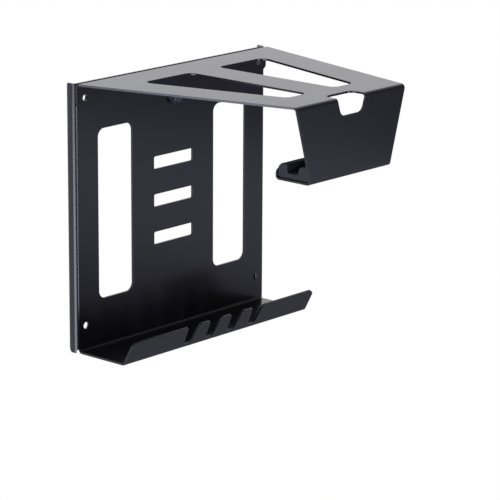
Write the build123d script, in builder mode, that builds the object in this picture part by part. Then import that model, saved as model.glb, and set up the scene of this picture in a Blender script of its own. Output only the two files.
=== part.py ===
from build123d import *
import os
from math import cos, radians, sin

# Wall rack for a bicycle: a folded steel wall panel with a tray at its foot, a folded steel arm that reaches
# forward to a padded cradle for the frame's top tube, and the bolt that clamps the arm to the panel.
# Origin: centre of the four wall screw holes, on the panel's front face. +X right, +Y into the wall, +Z up.
# All sizes are in millimetres, and lip_lean and relief_turn are in degrees.

# Both sheets
sheet = 2.5
bend_radius = 2.5
rack_width = 335.0
rack_height = 327.0

# Wall screw holes, set in from the sides, from the top and from the foot
screw_hole_diameter = 8.4
screw_side_inset = 15.5
screw_drop = 18.1
screw_rise = 32.9

# Wall panel: side returns with a rim along the wall, windows and slots
return_depth = 15.3
return_foot_rise = 1.2
rim_width = 9.5
rim_top_mitre = 4.0
rim_foot_mitre = 6.0
relief_turn = 35.0
window_width = 58.0
window_height = 207.0
window_spacing = 201.0
window_corner_radius = 10.0
slot_count = 3
slot_length = 68.0
slot_height = 15.4
slot_pitch = 46.8
slot_corner_radius = 2.0
cutout_rise = 0.7

# Tray at the panel's foot, and its leaning lip with open-topped notches
tray_depth = 73.0
lip_height = 29.4
lip_lean = 28.0
lip_corner_radius = 9.0
notch_count = 4
notch_pitch = 38.2
notch_floor_width = 13.0
notch_mouth_width = 20.0
notch_floor_height = 6.0
notch_floor_radius = 3.0
notch_mouth_radius = 4.0

# Support arm, almost as wide as the rack at its rear: top, apron, ledge with its rear lip, and rear flange with
# its bolted tongue
arm_side_inset = 1.5
arm_reach = 278.6
arm_front_width = 192.0
apron_height = 93.2
ledge_width = 144.0
ledge_depth = 52.0
ledge_lip_height = 13.0
ledge_lip_radius = 6.0
flange_height = 28.0
flange_corner_radius = 6.0
tongue_width = 20.0
tongue_root_radius = 5.0

# Two openings in the arm's top, one on each side of a centre strip
opening_rear_margin = 50.0
opening_front_margin = 46.6
opening_rear_width = 83.5
opening_front_width = 35.1
opening_corner_radius = 10.0
centre_strip = 47.2

# Hand notch across the arm's front fold
grip_width = 48.6
grip_foot_width = 38.0
grip_top_depth = 21.9
grip_top_radius = 8.0
grip_apron_depth = 21.0
grip_apron_radius = 9.5

# Foam pad in the cradle, and the adhesive layer under it
pad_height = 16.0
pad_end_inset = 1.5
pad_clearance = 0.2
pad_rear_wall = 13.4
pad_channel_width = 16.4
pad_floor = 6.0
pad_channel_radius = 3.0
pad_front_radius = 6.5
pad_rear_chamfer = 4.0
pad_edge_radius = 1.0
adhesive_thickness = 0.8
adhesive_inset = 1.0

# Clamp bolt with its washers and lock nut
bolt_drop = 38.8
bolt_diameter = 8.0
bolt_length = 15.0
bolt_head_width = 13.0
bolt_head_height = 5.3
bolt_head_chamfer = 0.6
bolt_tip_chamfer = 1.0
bolt_hole_clearance = 0.4
washer_diameter = 16.0
washer_thickness = 1.6
nut_width = 13.0
nut_height = 6.0
nut_collar_diameter = 12.0
nut_collar_height = 2.0
nut_collar_radius = 0.6
nut_ring_diameter = 10.2
nut_ring_height = 1.6
thread_clearance = 0.1

# Slack for finding corners and edges at a level
level_slack = 0.01

# Levels and places worked out from the sizes above
bend_outer = bend_radius + sheet
screw_spacing_x = rack_width - 2 * screw_side_inset
screw_spacing_z = rack_height - screw_drop - screw_rise
rack_top = screw_spacing_z / 2 + screw_drop
rack_middle = rack_top - rack_height / 2
tray_bottom = rack_top - rack_height
return_foot = tray_bottom + return_foot_rise
flat_half_width = rack_width / 2 - bend_outer
arm_half_width = rack_width / 2 - arm_side_inset
relief_way = Vector(cos(radians(relief_turn)), -sin(radians(relief_turn)))
relief_end = Vector(flat_half_width, bend_outer) + relief_way * 2 * bend_outer
cutout_level = rack_middle + cutout_rise
lip_length = lip_height / cos(radians(lip_lean))
lip_up = Vector(0, -sin(radians(lip_lean)), cos(radians(lip_lean)))
lip_normal = Vector(0, -cos(radians(lip_lean)), -sin(radians(lip_lean)))
lip_foot = Vector(0, -tray_depth, tray_bottom)
lip_top = lip_foot + lip_up * lip_length
lip_plane = Plane(origin=lip_foot, x_dir=(1, 0, 0), z_dir=lip_normal)
ledge_bottom = rack_top - apron_height
ledge_top = ledge_bottom + sheet
ledge_rear = ledge_depth - arm_reach
flange_foot = rack_top - flange_height
opening_front = arm_reach - opening_front_margin
pad_front = sheet + pad_clearance - arm_reach
pad_rear = ledge_rear - sheet - pad_clearance
pad_bottom = ledge_top + adhesive_thickness
pad_top = pad_bottom + pad_height
channel_rear = pad_rear - pad_rear_wall
channel_front = channel_rear - pad_channel_width
channel_floor = pad_bottom + pad_floor
bolt_level = rack_top - bolt_drop
bolt_hole_radius = bolt_diameter / 2 + bolt_hole_clearance
thread_radius = bolt_diameter / 2 + thread_clearance
front_seat = Plane(origin=(0, -sheet, bolt_level), x_dir=(1, 0, 0), z_dir=(0, -1, 0))
rear_seat = Plane(origin=(0, sheet, bolt_level), x_dir=(1, 0, 0), z_dir=(0, 1, 0))
head_seat = front_seat.offset(washer_thickness)
nut_seat = rear_seat.offset(washer_thickness)


def at_level(shapes, axis, level):
    """Those of the corners or edges that lie at a level along an axis."""
    return shapes.filter_by_position(axis, level - level_slack, level + level_slack)


os.makedirs("parts", exist_ok=True)

with BuildPart() as wall_panel:
    # Face, side returns and the rims that they end in along the wall
    with BuildSketch(Plane.XY.offset(return_foot)):
        with BuildLine():
            FilletPolyline(
                (rim_width - rack_width / 2, return_depth),
                (-rack_width / 2, return_depth),
                (-rack_width / 2, 0),
                (rack_width / 2, 0),
                (rack_width / 2, return_depth),
                (rack_width / 2 - rim_width, return_depth),
                radius=bend_outer,
            )
            offset(amount=sheet, side=Side.LEFT)
        make_face()
    extrude(amount=rack_top - return_foot)
    # Ends of the rims, cut back at a slant that goes down from the top and up from the foot
    for side in (-1, 1):
        for end, way, mitre in ((rack_top, -1, rim_top_mitre), (return_foot, 1, rim_foot_mitre)):
            with BuildSketch(Plane.YZ.offset(side * rack_width / 2)):
                with Locations((return_depth, end)):
                    Polygon(
                        (-mitre, 0),
                        (0, way * mitre),
                        (0, -way * rim_width),
                        (-mitre, -way * rim_width),
                        align=None,
                    )
            extrude(amount=2 * rim_width, dir=(-side, 0, way), mode=Mode.SUBTRACT)
    # The face ends where the tray's fold starts, and the returns' folds are cut back there as a relief
    with BuildSketch(Plane.XY.offset(tray_bottom)):
        Polygon(
            (0, bend_outer),
            (flat_half_width, bend_outer),
            (relief_end.X, relief_end.Y),
            (0, relief_end.Y),
            align=None,
        )
        mirror(about=Plane.YZ)
    extrude(amount=bend_outer, mode=Mode.SUBTRACT)
    # Tray and leaning lip, as wide as the flat face between the returns' folds
    with BuildSketch(Plane.YZ):
        with BuildLine():
            FilletPolyline(
                (sheet, tray_bottom + bend_outer + sheet),
                (sheet, tray_bottom),
                (-tray_depth, tray_bottom),
                (lip_top.Y, lip_top.Z),
                radius=bend_outer,
            )
            offset(amount=sheet, side=Side.RIGHT)
        make_face()
    extrude(amount=flat_half_width, both=True)
    fillet(wall_panel.edges().filter_by(Axis((0, 0, 0), lip_normal)), lip_corner_radius)
    # Notches in the lip, wider at the mouth
    with BuildSketch(lip_plane) as notches:
        with GridLocations(notch_pitch, 0, notch_count, 1):
            Polygon(
                (-notch_mouth_width / 2, lip_length),
                (-notch_floor_width / 2, notch_floor_height),
                (notch_floor_width / 2, notch_floor_height),
                (notch_mouth_width / 2, lip_length),
                align=None,
            )
        fillet(notches.vertices().group_by(Axis.Y)[0], notch_floor_radius)
    extrude(amount=-2 * sheet, mode=Mode.SUBTRACT)
    notch_edges = wall_panel.edges().filter_by(Axis((0, 0, 0), lip_normal))
    fillet(notch_edges.group_by(Axis((0, 0, 0), lip_up))[-1], notch_mouth_radius)
    # Windows, slots and holes in the face
    with BuildSketch(Plane.XZ):
        with Locations((0, cutout_level)):
            with GridLocations(window_spacing, 0, 2, 1):
                RectangleRounded(window_width, window_height, window_corner_radius)
            with GridLocations(0, slot_pitch, 1, slot_count):
                RectangleRounded(slot_length, slot_height, slot_corner_radius)
        with GridLocations(screw_spacing_x, screw_spacing_z, 2, 2):
            Circle(screw_hole_diameter / 2)
        with Locations((0, bolt_level)):
            Circle(bolt_hole_radius)
    extrude(amount=-sheet, mode=Mode.SUBTRACT)
wall_panel.part.label = "wall_panel"
export_step(wall_panel.part, "parts/wall_panel.step")

with BuildPart() as support_arm:
    # Top, apron, ledge and ledge lip as one folded strip
    with BuildSketch(Plane.YZ):
        with BuildLine():
            FilletPolyline(
                (0, rack_top - 2 * bend_outer),
                (0, rack_top),
                (-arm_reach, rack_top),
                (-arm_reach, ledge_bottom),
                (ledge_rear, ledge_bottom),
                (ledge_rear, ledge_bottom + ledge_lip_height),
                radius=bend_outer,
            )
            offset(amount=sheet, side=Side.LEFT)
        make_face()
    extrude(amount=arm_half_width, both=True)
    # Rear flange, with a tongue down the middle for the clamp bolt
    with BuildSketch(Plane.XZ) as flange:
        with Locations((0, flange_foot)):
            Rectangle(2 * arm_half_width, flange_height - bend_outer, align=(Align.CENTER, Align.MIN))
        with Locations((0, bolt_level)):
            Rectangle(tongue_width, bolt_drop - bend_outer, align=(Align.CENTER, Align.MIN))
            Circle(tongue_width / 2)
        foot_corners = at_level(flange.vertices(), Axis.Y, flange_foot).sort_by(Axis.X)
        fillet([foot_corners.first, foot_corners.last], flange_corner_radius)
        foot_corners = at_level(flange.vertices(), Axis.Y, flange_foot).sort_by(Axis.X)
        fillet(foot_corners[1:-1], tongue_root_radius)
    extrude(amount=sheet)
    # Tapered sides of the top
    with BuildSketch(Plane.XY.offset(rack_top)):
        Polygon(
            (arm_half_width, -bend_outer),
            (arm_front_width / 2, bend_outer - arm_reach),
            (arm_front_width / 2, -arm_reach),
            (arm_half_width, -arm_reach),
            align=None,
        )
        mirror(about=Plane.YZ)
    extrude(amount=-bend_outer, mode=Mode.SUBTRACT)
    # Tapered sides of the apron, down to the ledge's width
    with BuildSketch(Plane.XZ.offset(arm_reach)):
        Polygon(
            (arm_front_width / 2, rack_top - bend_outer),
            (ledge_width / 2, ledge_bottom + bend_outer),
            (ledge_width / 2, ledge_bottom),
            (arm_half_width, ledge_bottom),
            (arm_half_width, rack_top - bend_outer),
            align=None,
        )
        mirror(about=Plane.YZ)
    extrude(amount=-bend_outer, mode=Mode.SUBTRACT)
    # Straight sides of the ledge and of its rear lip, whose ends are rounded
    with BuildSketch(Plane.XZ.offset(arm_reach - bend_outer)):
        with Locations((0, ledge_bottom)):
            Rectangle(2 * arm_half_width, ledge_lip_height, align=(Align.CENTER, Align.MIN))
            Rectangle(ledge_width, ledge_lip_height, align=(Align.CENTER, Align.MIN), mode=Mode.SUBTRACT)
    extrude(amount=bend_outer - ledge_depth, mode=Mode.SUBTRACT)
    ledge_lip_edges = at_level(support_arm.edges().filter_by(Axis.Y), Axis.Y, ledge_rear - sheet / 2)
    fillet(ledge_lip_edges.group_by(Axis.Z)[-1], ledge_lip_radius)
    # Openings in the top
    with BuildSketch(Plane.XY.offset(rack_top)) as openings:
        Polygon(
            (centre_strip / 2, -opening_rear_margin),
            (centre_strip / 2 + opening_rear_width, -opening_rear_margin),
            (centre_strip / 2 + opening_front_width, -opening_front),
            (centre_strip / 2, -opening_front),
            align=None,
        )
        mirror(about=Plane.YZ)
        fillet(openings.vertices(), opening_corner_radius)
    extrude(amount=-sheet, mode=Mode.SUBTRACT)
    # Hand notch across the front fold: its half in the top, then its half in the apron
    with BuildSketch(Plane.XY.offset(rack_top)) as grip_top:
        with Locations((0, -arm_reach)):
            Rectangle(grip_width, grip_top_depth, align=(Align.CENTER, Align.MIN))
        fillet(grip_top.vertices().group_by(Axis.Y)[-1], grip_top_radius)
    extrude(amount=-bend_outer, mode=Mode.SUBTRACT)
    with BuildSketch(Plane.XZ.offset(arm_reach)) as grip_apron:
        Polygon(
            (-grip_foot_width / 2, rack_top - grip_apron_depth),
            (grip_foot_width / 2, rack_top - grip_apron_depth),
            (grip_width / 2, rack_top - bend_outer),
            (grip_width / 2, rack_top),
            (-grip_width / 2, rack_top),
            (-grip_width / 2, rack_top - bend_outer),
            align=None,
        )
        fillet(grip_apron.vertices().group_by(Axis.Y)[0], grip_apron_radius)
    extrude(amount=-bend_outer, mode=Mode.SUBTRACT)
    # Holes in the rear flange
    with BuildSketch(Plane.XZ):
        with Locations((0, screw_spacing_z / 2)):
            with GridLocations(screw_spacing_x, 0, 2, 1):
                Circle(screw_hole_diameter / 2)
        with Locations((0, bolt_level)):
            Circle(bolt_hole_radius)
    extrude(amount=sheet, mode=Mode.SUBTRACT)
support_arm.part.label = "support_arm"
export_step(support_arm.part, "parts/support_arm.step")

# Foam block with a channel along it, rounded below to clear the ledge's folds
with BuildPart() as cradle_pad:
    with BuildSketch(Plane.YZ) as pad_section:
        Polygon(
            (pad_front, pad_bottom),
            (pad_rear, pad_bottom),
            (pad_rear, pad_top),
            (channel_rear, pad_top),
            (channel_rear, channel_floor),
            (channel_front, channel_floor),
            (channel_front, pad_top),
            (pad_front, pad_top),
            align=None,
        )
        fillet(at_level(pad_section.vertices(), Axis.Y, pad_bottom), bend_radius)
        fillet(at_level(pad_section.vertices(), Axis.Y, channel_floor), pad_channel_radius)
        chamfer(at_level(pad_section.vertices(), Axis.Y, pad_top).sort_by(Axis.X)[-1], pad_rear_chamfer)
        fillet(at_level(pad_section.vertices(), Axis.Y, pad_top).sort_by(Axis.X)[1], pad_front_radius)
        fillet(at_level(pad_section.vertices(), Axis.Y, pad_top).sort_by(Axis.X)[0], pad_edge_radius)
    extrude(amount=ledge_width / 2 - pad_end_inset, both=True)
cradle_pad.part.label = "cradle_pad"
export_step(cradle_pad.part, "parts/cradle_pad.step")

# Adhesive layer between the pad and the ledge's flat, set in from the pad's edges
with BuildPart() as pad_adhesive:
    with BuildSketch(Plane.XY.offset(ledge_top)):
        with Locations((0, (pad_front + pad_rear) / 2)):
            Rectangle(
                ledge_width - 2 * (pad_end_inset + adhesive_inset),
                pad_rear - pad_front - 2 * (bend_radius + adhesive_inset),
            )
    extrude(amount=adhesive_thickness)
pad_adhesive.part.label = "pad_adhesive"
export_step(pad_adhesive.part, "parts/pad_adhesive.step")

# Hexagon head bolt through the tongue and the panel, turned so that two flats stand upright
with BuildPart() as clamp_bolt:
    with BuildSketch(head_seat):
        RegularPolygon(bolt_head_width / 2, 6, major_radius=False, rotation=30)
    extrude(amount=bolt_head_height)
    chamfer(clamp_bolt.edges().group_by(Axis.Y)[0], bolt_head_chamfer)
    with BuildSketch(head_seat):
        Circle(bolt_diameter / 2)
    extrude(amount=-bolt_length)
    chamfer(clamp_bolt.edges().sort_by(Axis.Y)[-1], bolt_tip_chamfer)
clamp_bolt.part.label = "clamp_bolt"
export_step(clamp_bolt.part, "parts/clamp_bolt.step")

# Flat washers under the head and under the nut
for label, seat in (("front_washer", front_seat), ("rear_washer", rear_seat)):
    with BuildPart() as washer:
        with BuildSketch(seat):
            Circle(washer_diameter / 2)
            Circle(bolt_hole_radius, mode=Mode.SUBTRACT)
        extrude(amount=washer_thickness)
    washer.part.label = label
    export_step(washer.part, f"parts/{label}.step")

# Lock nut behind the panel: a hexagon with a round collar that holds the locking ring
with BuildPart() as lock_nut:
    with BuildSketch(nut_seat):
        RegularPolygon(nut_width / 2, 6, major_radius=False)
    extrude(amount=nut_height - nut_collar_height)
    with BuildSketch(nut_seat):
        Circle(nut_collar_diameter / 2)
    extrude(amount=nut_height)
    fillet(lock_nut.edges().sort_by(Axis.Y)[-1], nut_collar_radius)
    with BuildSketch(nut_seat):
        Circle(thread_radius)
    extrude(amount=nut_height, mode=Mode.SUBTRACT)
    with BuildSketch(nut_seat.offset(nut_height)):
        Circle(nut_ring_diameter / 2)
    extrude(amount=-nut_ring_height, mode=Mode.SUBTRACT)
lock_nut.part.label = "lock_nut"
export_step(lock_nut.part, "parts/lock_nut.step")

# Locking ring in the nut's collar
with BuildPart() as nut_ring:
    with BuildSketch(nut_seat.offset(nut_height)):
        Circle(nut_ring_diameter / 2)
        Circle(thread_radius, mode=Mode.SUBTRACT)
    extrude(amount=-nut_ring_height)
nut_ring.part.label = "nut_ring"
export_step(nut_ring.part, "parts/nut_ring.step")
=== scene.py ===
"""Looks of a folded steel wall rack for a bicycle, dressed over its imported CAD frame."""

import logging
import math
from abc import ABC, abstractmethod
from dataclasses import dataclass
from enum import Enum, IntEnum
from typing import Any

import bmesh
import bpy
from mathutils import Matrix, Vector, noise


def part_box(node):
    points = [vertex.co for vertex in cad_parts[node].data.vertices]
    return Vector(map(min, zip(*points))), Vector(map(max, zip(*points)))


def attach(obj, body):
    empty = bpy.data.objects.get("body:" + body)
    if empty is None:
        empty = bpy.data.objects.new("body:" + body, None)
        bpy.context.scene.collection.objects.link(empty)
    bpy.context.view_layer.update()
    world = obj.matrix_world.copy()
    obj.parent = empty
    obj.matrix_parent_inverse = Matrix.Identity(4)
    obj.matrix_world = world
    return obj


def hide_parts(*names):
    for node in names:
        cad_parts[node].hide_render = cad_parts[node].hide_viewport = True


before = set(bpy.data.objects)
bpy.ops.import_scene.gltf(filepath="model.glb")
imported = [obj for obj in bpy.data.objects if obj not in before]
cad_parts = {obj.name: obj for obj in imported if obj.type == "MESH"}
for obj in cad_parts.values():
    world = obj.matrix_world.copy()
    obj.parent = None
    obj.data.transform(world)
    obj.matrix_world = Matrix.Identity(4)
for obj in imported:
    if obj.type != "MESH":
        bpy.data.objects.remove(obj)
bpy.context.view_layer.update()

LOG = logging.getLogger("wall_rack")
MM = 0.001
ROOT_BODY = "root"
WHITE = "#FFFFFF"
# Rays that find a rounded edge, and the cosine of the turn at which the edge's own colour is full.
EDGE_RAYS = 6
FULL_EDGE_COSINE = 0.8
# Most values of a noise pattern lie between these two.
NOISE_LOW, NOISE_HIGH = 0.3, 0.7
# Radians that a wave pattern runs through over one unit, at a scale of 1.
WAVE_RADIANS = 20.0


class Slot(Enum):
    """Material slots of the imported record."""

    POWDER_COAT = "powder_coat"
    FOAM = "foam"
    ADHESIVE = "adhesive"
    BLACK_STEEL = "black_steel"
    NYLON = "nylon"


class Mix(IntEnum):
    """Socket numbers of a Mix node that mixes two colours: its three inputs and its output."""

    SHARE = 0
    FIRST = 6
    SECOND = 7
    RESULT = 2


def linear(colour: str) -> tuple[float, float, float, float]:
    """Turn an sRGB hex colour into linear RGBA.

    Args:
        colour: The colour as #RRGGBB.

    Returns:
        Linear red, green, blue and an alpha of 1.
    """
    channels = (int(colour[i:i + 2], 16) / 255 for i in (1, 3, 5))
    return (*(c / 12.92 if c <= 0.04045 else ((c + 0.055) / 1.055) ** 2.4 for c in channels), 1.0)


def per_metre(size_mm: float) -> float:
    """Texture scale at which one feature of a pattern is size_mm across."""
    return 1 / (size_mm * MM)


def add_node(
    tree: bpy.types.NodeTree,
    kind: str,
    values: dict[str | int, Any] | None = None,
    links: dict[str | int, bpy.types.NodeSocket] | None = None,
) -> bpy.types.Node:
    """Add a node with its settings and links.

    Args:
        tree: The tree that the node goes into.
        kind: Blender's type name of the node.
        values: Settings and unlinked inputs, by name or by input number.
        links: Output sockets to link, by input name or number.

    Returns:
        The new node.
    """
    node = tree.nodes.new(kind)
    for key, value in (values or {}).items():
        if isinstance(key, str) and hasattr(node, key):
            setattr(node, key, value)
        else:
            node.inputs[key].default_value = value
    for key, source in (links or {}).items():
        tree.links.new(source, node.inputs[key])
    return node


@dataclass(frozen=True)
class RoundedEdges:
    """Edges that catch the light as if rounded, and that take on a colour of their own."""

    radius_mm: float
    colour: str
    most: float = 1.0

    def nodes(
        self, tree: bpy.types.NodeTree, flat_colour: str
    ) -> tuple[bpy.types.NodeSocket, bpy.types.NodeSocket]:
        """Add the nodes that round the edges and colour them.

        Args:
            tree: The material's tree.
            flat_colour: The colour away from the edges.

        Returns:
            The rounded normal and the colour.
        """
        rounded = add_node(
            tree, "ShaderNodeBevel", {"samples": EDGE_RAYS, "Radius": self.radius_mm * MM}
        ).outputs["Normal"]
        flat = add_node(tree, "ShaderNodeNewGeometry").outputs["Normal"]
        turn = add_node(tree, "ShaderNodeVectorMath", {"operation": "DOT_PRODUCT"}, {0: rounded, 1: flat})
        share = add_node(
            tree,
            "ShaderNodeMapRange",
            {"From Min": 1.0, "From Max": FULL_EDGE_COSINE, "To Min": 0.0, "To Max": self.most},
            {"Value": turn.outputs["Value"]},
        )
        colour = add_node(
            tree,
            "ShaderNodeMix",
            {"data_type": "RGBA", Mix.FIRST: linear(flat_colour), Mix.SECOND: linear(self.colour)},
            {Mix.SHARE: share.outputs["Result"]},
        )
        return rounded, colour.outputs[Mix.RESULT]


@dataclass(frozen=True)
class Grain:
    """A fine uneven relief: its size and depth in millimetres, its octaves of detail and its strength."""

    size_mm: float
    depth_mm: float
    detail: float
    strength: float = 1.0

    def normal(
        self, tree: bpy.types.NodeTree, under: bpy.types.NodeSocket | None = None
    ) -> bpy.types.NodeSocket:
        """Add the relief's nodes.

        Args:
            tree: The material's tree.
            under: The normal that the relief lies on, where it isn't the mesh's own.

        Returns:
            The normal with the relief.
        """
        place = add_node(tree, "ShaderNodeTexCoord").outputs["Object"]
        pattern = add_node(
            tree, "ShaderNodeTexNoise", {"Scale": per_metre(self.size_mm), "Detail": self.detail}, {"Vector": place}
        )
        links = {"Height": pattern.outputs["Fac"]}
        if under is not None:
            links["Normal"] = under
        bump = add_node(
            tree, "ShaderNodeBump", {"Strength": self.strength, "Distance": self.depth_mm * MM}, links
        )
        return bump.outputs["Normal"]


class Finish(ABC):
    """The finish of a real material, which turns its own values into shader nodes."""

    name: str

    @abstractmethod
    def shader(self, tree: bpy.types.NodeTree) -> bpy.types.Node:
        """Add the finish's nodes to a tree, and give back the shader among them."""

    def build(self) -> bpy.types.Material:
        """Make the material.

        Returns:
            The finished material.
        """
        material = bpy.data.materials.new(self.name)
        material.use_nodes = True
        tree = material.node_tree
        tree.nodes.clear()
        add_node(tree, "ShaderNodeOutputMaterial", links={"Surface": self.shader(tree).outputs[0]})
        return material


@dataclass(frozen=True)
class PowderCoat(Finish):
    """Satin black polyester powder coat, sprayed and baked on steel sheet.

    To the eye: near black, a soft broad sheen that goes pale grey at a grazing look, a fine orange peel from the
    powder's melting, and slightly paler edges where the coat pulls back from the cut.
    """

    name: str = "satin_black_powder_coat"
    colour: str = "#0D0E10"
    edges: RoundedEdges = RoundedEdges(0.5, "#1B1C20")
    roughness: float = 0.25
    roughness_spread: float = 0.01
    ior: float = 1.55
    # The real peel is about 0.6 mm, too fine for the render, so it is drawn about three times as coarse.
    peel: Grain = Grain(1.8, 0.008, 2.0)
    cloud_mm: float = 45.0
    cloud_detail: float = 3.0

    def shader(self, tree: bpy.types.NodeTree) -> bpy.types.Node:
        """Add the coat's nodes.

        Args:
            tree: The material's tree.

        Returns:
            The coat's shader.
        """
        rounded, colour = self.edges.nodes(tree, self.colour)
        place = add_node(tree, "ShaderNodeTexCoord").outputs["Object"]
        cloud = add_node(
            tree,
            "ShaderNodeTexNoise",
            {"Scale": per_metre(self.cloud_mm), "Detail": self.cloud_detail},
            {"Vector": place},
        )
        rough = add_node(
            tree,
            "ShaderNodeMapRange",
            {
                "From Min": NOISE_LOW,
                "From Max": NOISE_HIGH,
                "To Min": self.roughness - self.roughness_spread,
                "To Max": self.roughness + self.roughness_spread,
            },
            {"Value": cloud.outputs["Fac"]},
        )
        return add_node(
            tree,
            "ShaderNodeBsdfPrincipled",
            {"IOR": self.ior},
            {
                "Base Color": colour,
                "Roughness": rough.outputs["Result"],
                "Normal": self.peel.normal(tree, rounded),
            },
        )


@dataclass(frozen=True)
class ClosedCellFoam(Finish):
    """Closed-cell EVA foam, cut from a block with a hot wire.

    To the eye: a dead matt dark slate, with a fine even cell that shows most on the cut ends.
    """

    name: str = "slate_eva_foam"
    colour: str = "#3A3B3E"
    pore_colour: str = "#2B2C2E"
    roughness: float = 0.85
    ior: float = 1.4
    # Real cells are about 0.3 mm, too fine for the render, so they are drawn about three times as coarse.
    cell_mm: float = 1.0
    cell_depth_mm: float = 0.03
    mottle_mm: float = 12.0
    mottle_detail: float = 4.0
    # Height of the pattern at which the pores end and the foam's own colour is full.
    pore_share: float = 0.3

    def shader(self, tree: bpy.types.NodeTree) -> bpy.types.Node:
        """Add the foam's nodes.

        Args:
            tree: The material's tree.

        Returns:
            The foam's shader.
        """
        place = add_node(tree, "ShaderNodeTexCoord").outputs["Object"]
        cell = add_node(tree, "ShaderNodeTexVoronoi", {"Scale": per_metre(self.cell_mm)}, {"Vector": place})
        mottle = add_node(
            tree,
            "ShaderNodeTexNoise",
            {"Scale": per_metre(self.mottle_mm), "Detail": self.mottle_detail},
            {"Vector": place},
        )
        height = add_node(
            tree,
            "ShaderNodeMath",
            {"operation": "MULTIPLY"},
            {0: cell.outputs["Distance"], 1: mottle.outputs["Fac"]},
        ).outputs[0]
        share = add_node(
            tree, "ShaderNodeMapRange", {"From Min": 0.0, "From Max": self.pore_share}, {"Value": height}
        )
        colour = add_node(
            tree,
            "ShaderNodeMix",
            {"data_type": "RGBA", Mix.FIRST: linear(self.pore_colour), Mix.SECOND: linear(self.colour)},
            {Mix.SHARE: share.outputs["Result"]},
        )
        bump = add_node(
            tree, "ShaderNodeBump", {"Strength": 1.0, "Distance": self.cell_depth_mm * MM}, {"Height": height}
        )
        return add_node(
            tree,
            "ShaderNodeBsdfPrincipled",
            {"IOR": self.ior, "Roughness": self.roughness},
            {"Base Color": colour.outputs[Mix.RESULT], "Normal": bump.outputs["Normal"]},
        )


@dataclass(frozen=True)
class AcrylicAdhesive(Finish):
    """Black double-sided acrylic foam tape, pressed flat: dull, soft-edged and slightly uneven."""

    name: str = "black_acrylic_tape"
    colour: str = "#0B0B0C"
    roughness: float = 0.8
    grain: Grain = Grain(1.5, 0.05, 3.0, 0.6)

    def shader(self, tree: bpy.types.NodeTree) -> bpy.types.Node:
        """Add the tape's nodes.

        Args:
            tree: The material's tree.

        Returns:
            The tape's shader.
        """
        return add_node(
            tree,
            "ShaderNodeBsdfPrincipled",
            {"Base Color": linear(self.colour), "Roughness": self.roughness},
            {"Normal": self.grain.normal(tree)},
        )


@dataclass(frozen=True)
class BlackZinc(Finish):
    """Black passivated zinc plate on turned steel.

    To the eye: dark metal with a satin sheen, faint rings from the lathe round the bolt's axis, and brighter edges.
    """

    name: str = "black_zinc_steel"
    colour: str = "#64656A"
    edges: RoundedEdges = RoundedEdges(0.25, "#9A9BA0", 0.7)
    roughness: float = 0.38
    # Real rings are about 0.2 mm apart, too fine for the render, so they are drawn about fifteen times as coarse.
    ring_mm: float = 3.14
    ring_depth_mm: float = 0.01
    ring_strength: float = 0.5
    ring_wobble: float = 1.5
    ring_detail: float = 2.0
    axis_z_mm: float = 117.3

    def shader(self, tree: bpy.types.NodeTree) -> bpy.types.Node:
        """Add the plate's nodes.

        Args:
            tree: The material's tree.

        Returns:
            The plate's shader.
        """
        rounded, colour = self.edges.nodes(tree, self.colour)
        place = add_node(tree, "ShaderNodeTexCoord").outputs["Object"]
        centred = add_node(
            tree,
            "ShaderNodeVectorMath",
            {"operation": "SUBTRACT", 1: (0.0, 0.0, self.axis_z_mm * MM)},
            {0: place},
        ).outputs["Vector"]
        rings = add_node(
            tree,
            "ShaderNodeTexWave",
            {
                "wave_type": "RINGS",
                "rings_direction": "Y",
                "Scale": per_metre(self.ring_mm) * math.tau / WAVE_RADIANS,
                "Distortion": self.ring_wobble,
                "Detail": self.ring_detail,
            },
            {"Vector": centred},
        )
        bump = add_node(
            tree,
            "ShaderNodeBump",
            {"Strength": self.ring_strength, "Distance": self.ring_depth_mm * MM},
            {"Height": rings.outputs["Fac"], "Normal": rounded},
        )
        return add_node(
            tree,
            "ShaderNodeBsdfPrincipled",
            {"Metallic": 1.0, "Roughness": self.roughness},
            {"Base Color": colour, "Normal": bump.outputs["Normal"]},
        )


@dataclass(frozen=True)
class MouldedNylon(Finish):
    """Blue nylon, moulded into the nut's collar: waxy, slightly translucent, with fine mould grain."""

    name: str = "blue_moulded_nylon"
    colour: str = "#2F4F93"
    roughness: float = 0.42
    ior: float = 1.53
    translucence: float = 0.1
    light_depth_mm: float = 0.5
    grain: Grain = Grain(0.6, 0.02, 2.0, 0.5)

    def shader(self, tree: bpy.types.NodeTree) -> bpy.types.Node:
        """Add the nylon's nodes.

        Args:
            tree: The material's tree.

        Returns:
            The nylon's shader.
        """
        return add_node(
            tree,
            "ShaderNodeBsdfPrincipled",
            {
                "Base Color": linear(self.colour),
                "Roughness": self.roughness,
                "IOR": self.ior,
                "Subsurface Weight": self.translucence,
                "Subsurface Scale": self.light_depth_mm * MM,
            },
            {"Normal": self.grain.normal(tree)},
        )


@dataclass(frozen=True)
class FloorPaint(Finish):
    """Pale floor paint, rolled on: plain and matt."""

    name: str = "pale_floor_paint"
    colour: str = "#C6C6CC"
    roughness: float = 0.9

    def shader(self, tree: bpy.types.NodeTree) -> bpy.types.Node:
        """Add the paint's shader."""
        values = {"Base Color": linear(self.colour), "Roughness": self.roughness}
        return add_node(tree, "ShaderNodeBsdfPrincipled", values)


FINISHES: dict[Slot, Finish] = {
    Slot.POWDER_COAT: PowderCoat(),
    Slot.FOAM: ClosedCellFoam(),
    Slot.ADHESIVE: AcrylicAdhesive(),
    Slot.BLACK_STEEL: BlackZinc(),
    Slot.NYLON: MouldedNylon(),
}


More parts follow.
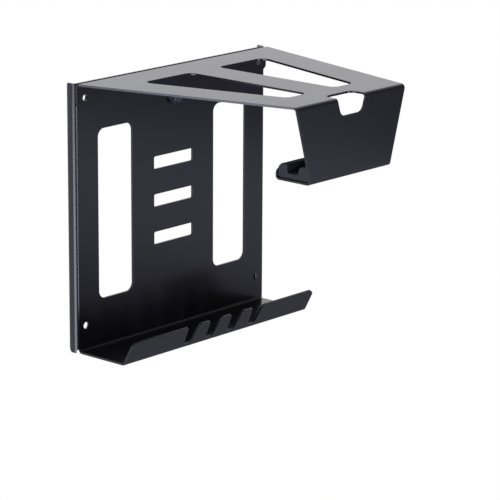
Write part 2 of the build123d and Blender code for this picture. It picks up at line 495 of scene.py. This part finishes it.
def dress_nodes(nodes: tuple[str, ...], slot: Slot) -> list[bpy.types.Object]:
    """Give CAD nodes the finish of their slot.

    Args:
        nodes: The nodes' names.
        slot: The slot whose finish they get.

    Returns:
        The nodes' objects.
    """
    material = FINISHES[slot].build()
    pieces = [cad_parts[node] for node in nodes]
    for piece in pieces:
        piece.data.materials.clear()
        piece.data.materials.append(material)
    return pieces


@dataclass
class FoldedSheets:
    """The wall panel with its tray, and the support arm: two folded sheets in one coat."""

    nodes: tuple[str, ...] = ("wall_panel", "support_arm")

    def dress(self) -> list[bpy.types.Object]:
        """Coat both sheets."""
        return dress_nodes(self.nodes, Slot.POWDER_COAT)


@dataclass(frozen=True)
class Corner:
    """A corner of a section in millimetres, with the radius it is rounded to."""

    y: float
    z: float
    radius: float

    @property
    def place(self) -> Vector:
        """The corner as a point (y, z)."""
        return Vector((self.y, self.z))


@dataclass
class CradlePad:
    """The foam block with a channel along it, and the tape that holds it on the ledge. Sizes in millimetres."""

    node: str = "cradle_pad"
    tape_node: str = "pad_adhesive"
    rear_wall: float = 13.4
    channel_width: float = 16.4
    floor: float = 6.0
    foot_radius: float = 2.5
    channel_radius: float = 3.0
    front_radius: float = 6.5
    rear_chamfer: float = 4.0
    edge_radius: float = 1.4
    chamfer_radius: float = 1.6
    end_radius: float = 0.9
    arc_steps: int = 6
    end_steps: int = 4
    ring_gap: float = 3.0
    swell: float = 0.3
    swell_pitch: float = 24.0

    def limits(self) -> tuple[Vector, Vector]:
        """Lowest and highest corners of the pad's CAD solid, in millimetres."""
        low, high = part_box(self.node)
        return low / MM, high / MM

    def corners(self) -> list[Corner]:
        """Place the corners of the pad's section.

        Returns:
            The corners, anticlockwise with Y to the right and Z up.
        """
        low, high = self.limits()
        channel_rear = high.y - self.rear_wall
        channel_front = channel_rear - self.channel_width
        channel_floor = low.z + self.floor
        return [
            Corner(low.y, low.z, self.foot_radius),
            Corner(high.y, low.z, self.foot_radius),
            Corner(high.y, high.z - self.rear_chamfer, self.chamfer_radius),
            Corner(high.y - self.rear_chamfer, high.z, self.chamfer_radius),
            Corner(channel_rear, high.z, self.edge_radius),
            Corner(channel_rear, channel_floor, self.channel_radius),
            Corner(channel_front, channel_floor, self.channel_radius),
            Corner(channel_front, high.z, self.front_radius),
            Corner(low.y, high.z, self.edge_radius),
        ]

    def section(self) -> list[Vector]:
        """Round the section's corners.

        Returns:
            The section as a closed loop of points (y, z) in millimetres, anticlockwise.
        """
        corners = self.corners()
        loop = []
        for i, corner in enumerate(corners):
            here, before = corner.place, corners[i - 1].place
            after = corners[(i + 1) % len(corners)].place
            into, out = (here - before).normalized(), (after - here).normalized()
            turn = -into.angle_signed(out)
            reach = corner.radius * math.tan(abs(turn) / 2)
            start = here - into * reach
            side = Vector((-into.y, into.x)) * math.copysign(1, turn)
            centre = start + side * corner.radius
            for step in range(self.arc_steps + 1):
                angle = turn * step / self.arc_steps
                loop.append(centre + Matrix.Rotation(angle, 2) @ (start - centre))
        return loop

    def stations(self) -> list[tuple[float, float]]:
        """Place the section along the pad, drawn in at both ends to round them.

        Returns:
            Each station's X and how far the section is drawn in there, in millimetres.
        """
        low, high = self.limits()
        end = []
        for step in range(self.end_steps + 1):
            angle = math.pi / 2 * step / self.end_steps
            end.append((self.end_radius * (1 - math.cos(angle)), self.end_radius * (1 - math.sin(angle))))
        middle = high.x - low.x - 2 * self.end_radius
        gaps = math.ceil(middle / self.ring_gap)
        return [
            *((low.x + reach, inset) for reach, inset in end),
            *((low.x + self.end_radius + middle * i / gaps, 0.0) for i in range(1, gaps)),
            *((high.x - reach, inset) for reach, inset in reversed(end)),
        ]

    def build_mesh(self, name: str) -> bpy.types.Mesh:
        """Join the sections to one closed mesh, with a swell that grows from the foot to the top.

        Args:
            name: The mesh's name.

        Returns:
            The pad's mesh.
        """
        low, high = self.limits()
        loop = self.section()
        count = len(loop)
        inward = []
        for i in range(count):
            along = (loop[(i + 1) % count] - loop[i - 1]).normalized()
            inward.append(Vector((-along.y, along.x)))
        mesh = bmesh.new()
        rings = []
        for x, inset in self.stations():
            ring = []
            for point, normal in zip(loop, inward):
                moved = point + normal * inset
                lift = self.swell * (1 + noise.noise(Vector((x, point.x, point.y)) / self.swell_pitch)) / 2
                moved.y += lift * (point.y - low.z) / (high.z - low.z)
                ring.append(mesh.verts.new(Vector((x, moved.x, moved.y)) * MM))
            rings.append(ring)
        for first, second in zip(rings, rings[1:]):
            for i in range(count):
                j = (i + 1) % count
                mesh.faces.new((first[i], first[j], second[j], second[i])).smooth = True
        ends = [mesh.faces.new(rings[0]), mesh.faces.new(reversed(rings[-1]))]
        bmesh.ops.recalc_face_normals(mesh, faces=mesh.faces)
        bmesh.ops.triangulate(mesh, faces=ends, ngon_method="EAR_CLIP")
        data = bpy.data.meshes.new(name)
        mesh.to_mesh(data)
        mesh.free()
        return data

    def build(self) -> bpy.types.Object:
        """Make the pad and put it in place of its CAD solid.

        Returns:
            The pad.
        """
        pad = bpy.data.objects.new("foam_pad", self.build_mesh("foam_pad"))
        bpy.context.scene.collection.objects.link(pad)
        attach(pad, ROOT_BODY)
        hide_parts(self.node)
        return pad

    def dress(self) -> list[bpy.types.Object]:
        """Build the pad, and give it and its tape their finishes.

        Returns:
            The pad and the tape.
        """
        pad = self.build()
        pad.data.materials.append(FINISHES[Slot.FOAM].build())
        return [pad, *dress_nodes((self.tape_node,), Slot.ADHESIVE)]


@dataclass
class ClampBolt:
    """The bolt through both sheets, with its washers, its lock nut and the nut's ring."""

    steel_nodes: tuple[str, ...] = ("clamp_bolt", "front_washer", "rear_washer", "lock_nut")
    ring_node: str = "nut_ring"

    def dress(self) -> list[bpy.types.Object]:
        """Finish the steel pieces and the nylon ring."""
        return dress_nodes(self.steel_nodes, Slot.BLACK_STEEL) + dress_nodes((self.ring_node,), Slot.NYLON)


@dataclass(frozen=True)
class Softbox:
    """A cool soft lamp: its place, its target, its width and height in metres, its power and its roll in degrees."""

    name: str
    place: tuple[float, float, float]
    target: tuple[float, float, float]
    width: float
    height: float
    watts: float
    roll: float = 0.0
    colour: str = "#E6E6FF"

    def build(self) -> bpy.types.Object:
        """Make the lamp, unseen by the camera itself.

        Returns:
            The lamp.
        """
        data = bpy.data.lights.new(self.name, "AREA")
        data.shape = "RECTANGLE"
        data.size = self.width
        data.size_y = self.height
        data.energy = self.watts
        data.color = linear(self.colour)[:3]
        lamp = bpy.data.objects.new(self.name, data)
        ahead = (Vector(self.target) - Vector(self.place)).to_track_quat("-Z", "Y").to_matrix().to_4x4()
        roll = Matrix.Rotation(math.radians(self.roll), 4, "Z")
        lamp.matrix_world = Matrix.Translation(self.place) @ ahead @ roll
        lamp.visible_camera = False
        bpy.context.scene.collection.objects.link(lamp)
        return lamp


@dataclass
class Studio:
    """White backdrop, pale floor, soft lamps and the camera. Lengths in metres, angles in degrees."""

    floor_level: float = -1.5
    floor_middle: tuple[float, float] = (0.2, -0.9)
    floor_side: float = 3.4
    floor_paint: FloorPaint = FloorPaint()
    # Direction of the backdrop, and the cosines at which it begins and is full.
    back: tuple[float, float, float] = (0.1, 0.95, 0.3)
    back_edge: tuple[float, float] = (-0.2, 0.8)
    backdrop_colour: str = "#FAFAFF"
    backdrop_level: float = 0.5
    backdrop_gloss_level: float = 1.0
    room_colour: str = "#B8B7CE"
    room_level: float = 0.32
    lamps: tuple[Softbox, ...] = (
        Softbox("left_softbox", (-2.15, -0.46, -0.62), (0.0, 0.0, -0.1), width=2.4, height=0.8, watts=41.0),
        Softbox("front_softbox", (0.2, -2.37, -0.3), (0.0, 0.0, -0.3), width=0.5, height=1.6, watts=26.0),
        Softbox(
            "strip_light", (0.62, -0.614, -0.215), (0.0, 0.0, -0.215), width=1.1, height=0.24, watts=0.385, roll=-10.0
        ),
        Softbox("apron_light", (0.453, -0.802, 0.17), (-0.2, -0.225, 0.17), width=0.36, height=0.54, watts=0.072),
        Softbox(
            "back_softbox", (1.88, 1.6, 0.8), (0.0, -0.1, 0.15), width=2.6, height=1.7, watts=3.3, colour="#FAFAFF"
        ),
    )
    camera_place: tuple[float, float, float] = (-2.3444, -2.2002, 0.7687)
    camera_yaw: float = 48.482
    camera_pitch: float = -14.694
    camera_roll: float = 0.324
    lens_mm: float = 195.57
    sensor_mm: float = 36.0

    def build_world(self) -> None:
        """A bright backdrop behind and above the rack, a dim cool room before it, and plain white to the camera."""
        world = bpy.data.worlds.new("studio")
        world.use_nodes = True
        tree = world.node_tree
        tree.nodes.clear()
        way = add_node(tree, "ShaderNodeTexCoord").outputs["Generated"]
        facing = add_node(
            tree, "ShaderNodeVectorMath", {"operation": "DOT_PRODUCT", 1: self.back}, {0: way}
        ).outputs["Value"]
        behind = add_node(
            tree,
            "ShaderNodeMapRange",
            {
                "interpolation_type": "SMOOTHSTEP",
                "From Min": self.back_edge[0],
                "From Max": self.back_edge[1],
            },
            {"Value": facing},
        ).outputs["Result"]
        path = add_node(tree, "ShaderNodeLightPath")
        room = Vector(linear(self.room_colour)) * self.room_level
        white = Vector(linear(self.backdrop_colour))
        backdrop = add_node(
            tree,
            "ShaderNodeMix",
            {
                "data_type": "RGBA",
                Mix.FIRST: white * self.backdrop_level,
                Mix.SECOND: white * self.backdrop_gloss_level,
            },
            {Mix.SHARE: path.outputs["Is Glossy Ray"]},
        ).outputs[Mix.RESULT]
        light = add_node(
            tree,
            "ShaderNodeMix",
            {"data_type": "RGBA", Mix.FIRST: room},
            {Mix.SHARE: behind, Mix.SECOND: backdrop},
        ).outputs[Mix.RESULT]
        seen = add_node(
            tree,
            "ShaderNodeMath",
            {"operation": "MAXIMUM"},
            {0: path.outputs["Is Camera Ray"], 1: path.outputs["Is Transmission Ray"]},
        ).outputs[0]
        shown = add_node(
            tree,
            "ShaderNodeMix",
            {"data_type": "RGBA", Mix.SECOND: linear(WHITE)},
            {Mix.SHARE: seen, Mix.FIRST: light},
        ).outputs[Mix.RESULT]
        sky = add_node(tree, "ShaderNodeBackground", links={"Color": shown})
        add_node(tree, "ShaderNodeOutputWorld", links={"Surface": sky.outputs[0]})
        bpy.context.scene.world = world

    def build_floor(self) -> bpy.types.Object:
        """Make the pale floor, far below the rack as under a wall.

        Returns:
            The floor.
        """
        half = self.floor_side / 2
        data = bpy.data.meshes.new("floor")
        data.from_pydata(
            [
                (self.floor_middle[0] + x * half, self.floor_middle[1] + y * half, self.floor_level)
                for x, y in ((-1, -1), (1, -1), (1, 1), (-1, 1))
            ],
            [],
            [(0, 1, 2, 3)],
        )
        floor = bpy.data.objects.new("floor", data)
        bpy.context.scene.collection.objects.link(floor)
        data.materials.append(self.floor_paint.build())
        return floor

    def build_camera(self) -> bpy.types.Object:
        """Make the camera at the place and turn that the object is seen from.

        Returns:
            The camera.
        """
        yaw, pitch, roll = (math.radians(a) for a in (self.camera_yaw, self.camera_pitch, self.camera_roll))
        ahead = Vector((math.sin(yaw) * math.cos(pitch), math.cos(yaw) * math.cos(pitch), math.sin(pitch)))
        level = Vector((math.cos(yaw), -math.sin(yaw), 0.0))
        rise = level.cross(ahead)
        right = level * math.cos(roll) + rise * math.sin(roll)
        up = rise * math.cos(roll) - level * math.sin(roll)
        data = bpy.data.cameras.new("camera")
        data.lens = self.lens_mm
        data.sensor_width = self.sensor_mm
        camera = bpy.data.objects.new("camera", data)
        turn = Matrix((right, up, -ahead)).transposed().to_4x4()
        camera.matrix_world = Matrix.Translation(self.camera_place) @ turn
        bpy.context.scene.collection.objects.link(camera)
        bpy.context.scene.camera = camera
        return camera

    def build(self) -> None:
        """Make the whole set."""
        bpy.context.scene.view_settings.view_transform = "Standard"
        self.build_world()
        self.build_floor()
        for lamp in self.lamps:
            lamp.build()
        self.build_camera()


def main() -> None:
    """Build the set, dress each sub-assembly in order and report its pieces."""
    logging.basicConfig(level=logging.INFO, format="%(name)s: %(message)s")
    Studio().build()
    for assembly in (FoldedSheets(), CradlePad(), ClampBolt()):
        for piece in assembly.dress():
            LOG.info("%s: %s, %d faces", type(assembly).__name__, piece.name, len(piece.data.polygons))


if __name__ == "__main__":
    main()
